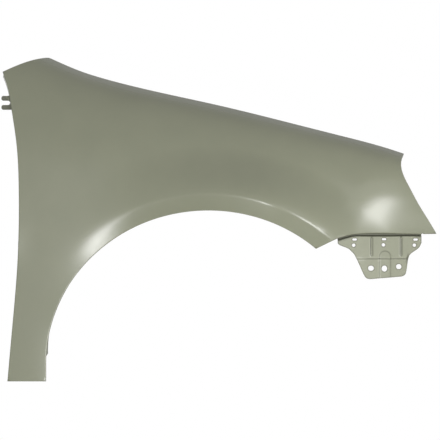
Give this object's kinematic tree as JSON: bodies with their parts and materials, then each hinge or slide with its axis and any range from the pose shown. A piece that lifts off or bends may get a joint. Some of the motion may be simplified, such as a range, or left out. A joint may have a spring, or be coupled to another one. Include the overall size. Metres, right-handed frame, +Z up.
{
  "type": "car fender",
  "caption": "Right-hand front fender of a small car, stamped from thin steel, with a flared wheel arch, a rear leg, a bonnet rail and a bumper flange.",
  "frame": {"origin": "middle of the underside of the bonnet rail's second bolt pad from the rear, where the rail rests on the car", "axes": "+X towards the front of the car, +Y inboard, +Z up"},
  "size_m": [0.9401, 0.1769, 0.6988],
  "materials": {
    "primer_coat": "satin grey-green primer"
  },
  "bodies": {
    "root": {"fender_panel": "primer_coat"}
  },
  "joints": []
}
